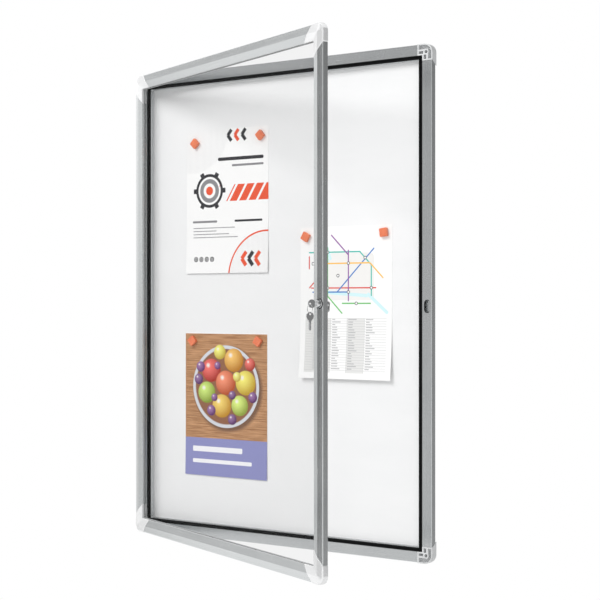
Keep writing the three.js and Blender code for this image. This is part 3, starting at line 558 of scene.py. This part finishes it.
def routesSheet(sheet):
    art = Print(sheet)
    y, height, pitch = sheet["tableY"], sheet["tableHeight"], sheet["rowPitch"]
    art.lay(art.bar(*sheet["ground"]), sheet["groundInk"])
    for x, at, length, turn in sheet["water"]:
        art.lay(art.bar(x, at, length, sheet["waterWidth"], turn, corner=3), sheet["waterInk"])
    for x, at, length, turn, ink in sheet["strokes"]:
        art.lay(art.bar(x, at, length, sheet["strokeWidth"], turn, corner=1.2), ink)
    for x, at in sheet["stops"]:
        art.lay(art.disc(x, at, sheet["stopRadius"]), inkDark)
        art.lay(art.disc(x, at, sheet["stopHole"]), paper["white"])
    for x, width in sheet["shaded"]:
        art.lay(art.bar(x, y, width, height), sheet["shadeInk"])
    down = art.g.math("SUBTRACT", art.y, sheet["rowTop"])
    table = art.bar(sheet["tableX"], y, sheet["tableWidth"], height)
    art.lay(art.both(art.stripes(down, pitch, sheet["rowShare"]), table), sheet["lineInk"])
    for i, x in enumerate(sheet["columns"]):
        words = art.rows(
            x + sheet["wordInset"], sheet["rowTop"] + sheet["wordDrop"], width=22, count=20,
            pitch=pitch, thick=1.7, shortest=0.3, seed=11 + 7 * i)
        art.lay(words, sheet["wordInk"])
        art.lay(art.bar(x - 1, y, sheet["lineWidth"], height), sheet["lineInk"])
    return art.finish(sheet["gloss"])


print("printed sheets ready")

# radius in metres of the rounded edges that each kind of piece gets
edgeRound = {
    "case_rail": 0.0003, "case_stile": 0.0003, "case_corner": 0.0004, "door_rail": 0.0004,
    "door_stile": 0.0004, "door_corner": 0.0006, "case_gasket": 0.0002, "magnet": 0.0004,
    "lock_barrel": 0.0002, "lock_plug": 0.00015, "lock_cam": 0.0002, "lock_nut": 0.0002,
    "cam_screw": 0.0002, "key": 0.0002, "spare_key": 0.0002, "hinge_pin": 0.0002,
}
# edges that turn by less than this stay smooth; the door's ridge is a shallow one
smoothAngle = {"case_": math.radians(17), "door_": math.radians(17), "": math.radians(34)}
flatAngle = math.radians(0.6)  # faces that differ by less become one


def weldedCopy(node):
    # the node's loose triangles joined where their corners agree to a micron
    source = nodes[node].data
    points = np.empty(len(source.vertices) * 3)
    source.vertices.foreach_get("co", points)
    source.calc_loop_triangles()
    corners = np.empty(len(source.loop_triangles) * 3, np.int32)
    source.loop_triangles.foreach_get("vertices", corners)
    grid = np.round(points.reshape(-1, 3) * 1e6).astype(np.int64)
    _, first, where = np.unique(grid, axis=0, return_index=True, return_inverse=True)
    triangles = where.reshape(-1)[corners].reshape(-1, 3)
    flat = (triangles == np.roll(triangles, 1, axis=1)).any(axis=1)  # two corners in one place
    mesh = bpy.data.meshes.new(node + "_fine")
    mesh.from_pydata(points.reshape(-1, 3)[first], [], triangles[~flat])
    return mesh


def refine(node, material):
    mesh = weldedCopy(node)
    shape = bmesh.new()
    shape.from_mesh(mesh)
    if not node.endswith("key"):  # the keys' flat faces have holes and stay in triangles
        bmesh.ops.dissolve_limit(shape, angle_limit=flatAngle, verts=shape.verts, edges=shape.edges)
    shape.to_mesh(mesh)
    shape.free()
    mesh.shade_smooth()
    smooth = next(value for key, value in smoothAngle.items() if node.startswith(key))
    mesh.set_sharp_from_angle(angle=smooth)
    piece = bpy.data.objects.new(node + "_fine", mesh)
    bpy.context.scene.collection.objects.link(piece)
    dress(piece, material)
    size = next(value for key, value in edgeRound.items() if node.startswith(key))
    bevel = piece.modifiers.new("edges", "BEVEL")
    bevel.width, bevel.segments, bevel.limit_method = size, 2, "ANGLE"
    bevel.angle_limit = smooth
    bevel.harden_normals = True
    bevel.use_clamp_overlap = True
    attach(piece, bodyOf[node])
    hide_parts(node)


looks = {
    "case_rail": extrudedMetal("case_metal_across", anodised, 0, "x"),
    "case_stile": extrudedMetal("case_metal_upright", anodised, 0, "z"),
    "door_rail": extrudedMetal("door_metal_across", doorAnodisedPaintedLighter, doorTurn, "x"),
    "door_stile": extrudedMetal("door_metal_upright", doorAnodisedPaintedLighter, doorTurn, "z"),
    "door_stile_lock": extrudedMetal("door_metal_lock", doorAnodisedPaintedLighter, doorTurn, "z", lockPocketShade),
    "case_corner": mouldedPlastic("case_corner_plastic", caseCornerLook),
    "door_corner": mouldedPlastic("door_corner_plastic", doorCornerLook),
    "magnet": mouldedPlastic("magnet_plastic", magnetLook),
    "case_gasket": rubberSkin("gasket_rubber", gasketLook),
    "glazing_seal": rubberSkin("seal_rubber", sealLook),
    "whiteboard_panel": enamelSheet("white_enamel", enamelLook),
    "backing_board": hardboardSheet("hardboard", hardboardLook),
    "door_glazing": clearPane("clear_glass", paneLook),
    "lock_barrel": platedMetal("barrel_chrome", chromeLook),
    "lock_plug": platedMetal("plug_chrome", plugLook),
    "key": platedMetal("key_chrome", chromeLook),
    "spare_key": platedMetal("spare_key_chrome", chromeLook),
    "key_ring": platedMetal("ring_steel", chromeLook),
    "lock_nut": platedMetal("nut_zinc", zincLook),
    "lock_cam": platedMetal("cam_zinc", zincLook),
    "cam_screw": platedMetal("screw_zinc", zincLook),
    "hinge_pin": platedMetal("pin_zinc", zincLook),
    "notice_sheet_top": safetySheet(safety),
    "notice_sheet_bottom": harvestSheet(harvest),
    "notice_sheet_right": routesSheet(routes),
}
for node, thing in nodes.items():
    kind = max((key for key in looks if node.startswith(key)), key=len)
    dress(thing, looks[kind])
    if any(node.startswith(key) for key in edgeRound) and node != "key_ring":
        refine(node, looks[kind])
print("pieces dressed:", len(nodes))

studio = {
    "floor": middle - 1.4, "reach": 9.0, "ambient": 0.62, "white": 1.0,
    "paint": (0.8, 0.8, 0.8, 1), "glow": (1, 1, 1, 1),
}
reflected = {  # what metal sees round the board; the ring is by angle from +X in degrees
    "radius": 3.4, "low": -1.4, "high": 3.6, "columns": 73,
    "ring": [
        (-180, 0.62), (-177, 0.62), (-170, 1.08), (-163, 1.15), (-156, 1.0), (-151, 0.06),
        (-138, 0.06), (-133, 1.15), (-128, 0.98), (-122, 0.61), (-84, 0.62), (-79, 1.3),
        (-52, 1.3), (-46, 0.33), (0, 0.27), (30, 0.27), (50, 0.31), (75, 0.31), (95, 0.9),
        (160, 1.1), (170, 1.1), (175, 0.64), (180, 0.64),
    ],
    # share of it left at each height: all round, where the door's stiles and where its rails look
    "rise": [(-1.4, 1.1), (0.8, 0.8), (1.4, 0.62), (1.8, 0.5), (3.6, 0.5)],
    "stileRise": [(-1.4, 0.76), (-0.76, 0.82), (0, 0.93), (0.8, 1.11), (1.6, 1.25), (3.6, 1.25)],
    "railRise": [(-1.4, 0.86), (-1.1, 0.84), (-0.75, 0.56), (-0.15, 0.56), (0.15, 0.92),
                 (0.75, 0.92), (1.05, 0.52), (3.6, 0.44)],
    # the stiles' share by angle to either side, and the angles that the rails' comes in and goes
    "stileSide": [(0, 0), (149, 0), (153, 1), (180, 1)],
    "railSide": ((-179, -176), (-159, -162)),
}
glossOnly = {"visible_camera": False, "visible_diffuse": False, "visible_shadow": False,
             "visible_transmission": False, "visible_volume_scatter": False}


def stageGrid(name, points, columns):
    # rows of points joined into quads, columns to a row
    rows = len(points) // columns
    first = (np.arange(rows - 1)[:, None] * columns + np.arange(columns - 1)[None, :]).reshape(-1)
    quads = np.column_stack([first, first + 1, first + columns + 1, first + columns])
    mesh = bpy.data.meshes.new(name)
    mesh.from_pydata(points, [], quads)
    thing = bpy.data.objects.new(name, mesh)
    bpy.context.scene.collection.objects.link(thing)
    return thing


def seenRays(g):
    # 1 for rays from the camera, off gloss or through glass
    path = g.put("LightPath").outputs
    seen = g.math("MAXIMUM", path["Is Camera Ray"], path["Is Glossy Ray"])
    return g.math("MAXIMUM", seen, path["Is Transmission Ray"])


def greyStops(g, value, pairs):
    # a line of greys: each pair is a place on the value's scale and the level there
    low, high = pairs[0][0], pairs[-1][0]
    tone = g.put("ValToRGB", g.ramp(value, low, high))
    stops = tone.color_ramp.elements
    for i, (place, level) in enumerate(pairs):
        if i == 0:
            stop = stops[0]
        elif i == len(pairs) - 1:
            stop = stops[-1]
        else:
            stop = stops.new((place - low) / (high - low))
        stop.color = (level, level, level, 1)
    return tone.outputs[0]


side = studio["reach"] * np.array([[-1, -1], [1, -1], [-1, 1], [1, 1]])
floor = stageGrid("floor", np.column_stack([side, np.full(4, studio["floor"])]), 2)
floorMaterial, g = newMaterial("floor_white")
paint = g.put("BsdfDiffuse", studio["paint"])
glow = g.put("Emission", studio["glow"], studio["white"])
mixed = g.put("MixShader", seenRays(g), paint.outputs[0], glow.outputs[0])
g.put("OutputMaterial", mixed.outputs[0])
dress(floor, floorMaterial)

# screens round the board, seen only in the gloss: a ring with x = radius cos(turn) and
# y = radius sin(turn), from low to high; its brightness is set by angle and by height
columns = reflected["columns"]
turns, heights = np.meshgrid(
    np.linspace(-math.pi, math.pi, columns), np.array([reflected["low"], reflected["high"]]))
ringX, ringY = np.cos(turns) * reflected["radius"], np.sin(turns) * reflected["radius"]
ringPoints = np.stack([ringX, ringY, heights + middle], -1)
screens = stageGrid("screens", ringPoints.reshape(-1, 3), columns)
screenMaterial, g = newMaterial("screen_cloth")
x, y, z = g.put("SeparateXYZ", g.put("TexCoord").outputs["Object"]).outputs
angle = g.math("DEGREES", g.math("ARCTAN2", y, x))
height = g.math("SUBTRACT", z, middle)
around = greyStops(g, angle, reflected["ring"])
byStiles = greyStops(g, g.math("ABSOLUTE", angle), reflected["stileSide"])
byRails = g.math("MULTIPLY", *[g.ramp(angle, *span) for span in reflected["railSide"]])
curves = [greyStops(g, height, reflected[key]) for key in ("rise", "stileRise", "railRise")]
upward = g.blend(byRails, g.blend(byStiles, *curves[:2]), curves[2])
g.put("OutputMaterial", g.put("Emission", around, upward).outputs[0])
dress(screens, screenMaterial)
for setting, value in glossOnly.items():
    setattr(screens, setting, value)

world = bpy.data.worlds.new("studio")
bpy.context.scene.world = world
world.use_nodes = True
g = Graph(world.node_tree)
strength = g.ramp(seenRays(g), 0, 1, studio["ambient"], studio["white"])
g.put("OutputWorld", g.put("Background", studio["glow"], strength).outputs[0])

lamps = {  # place, aim, size and power
    "key": ((-1.6, -3.6, middle + 3.2), (0, 0, middle), 2.4, 150),
    "fill": ((2.6, -3.4, middle - 0.4), (0, 0, middle), 2.0, 19),
}
for name, (place, aim, size, power) in lamps.items():
    lamp = bpy.data.lights.new(name, "AREA")
    lamp.size, lamp.energy = size, power
    thing = bpy.data.objects.new(name, lamp)
    thing.location = place
    heading = np.array(aim) - np.array(place)
    tilt = math.atan2(math.hypot(heading[0], heading[1]), -heading[2])
    thing.rotation_euler = (tilt, 0, math.atan2(-heading[0], heading[1]))
    thing.visible_glossy = False
    bpy.context.scene.collection.objects.link(thing)

# the pane lets light through to the panel without a shadow
nodes["door_glazing"].visible_shadow = False
nodes["door_glazing"].visible_diffuse = False

bpy.context.scene.view_settings.view_transform = "Standard"
print("studio ready")
